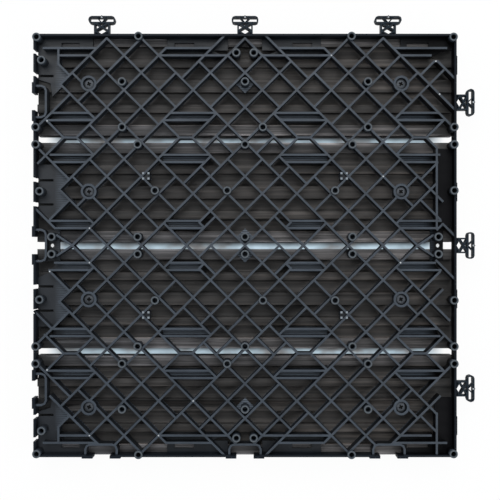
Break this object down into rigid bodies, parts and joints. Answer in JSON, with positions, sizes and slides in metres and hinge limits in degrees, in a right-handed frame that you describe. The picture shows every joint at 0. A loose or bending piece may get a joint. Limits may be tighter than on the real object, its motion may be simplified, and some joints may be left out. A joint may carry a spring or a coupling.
{
  "type": "interlocking deck tile",
  "caption": "Square interlocking deck tile: wooden slats on a moulded lattice base with foot posts, push-in connectors on two sides and sockets on the others.",
  "frame": {"origin": "middle of the whole outline, connectors included, on the plane of the walking face", "axes": "the tile lies face down as pictured and is turned over in use: +Z from the walking face to the foot posts, +X towards one row of connectors, +Y towards the other, slats along X"},
  "size_m": [0.3088, 0.3088, 0.0246],
  "materials": {
    "moulded_plastic": "matt moulded black plastic",
    "slat_wood": "planed, dark grey-brown stain",
    "screw_steel": "dull dark zinc"
  },
  "bodies": {
    "root": {"base_grid": "moulded_plastic", "slat_1": "slat_wood", "slat_2": "slat_wood", "slat_3": "slat_wood", "slat_4": "slat_wood", "screws": "screw_steel"}
  },
  "joints": []
}
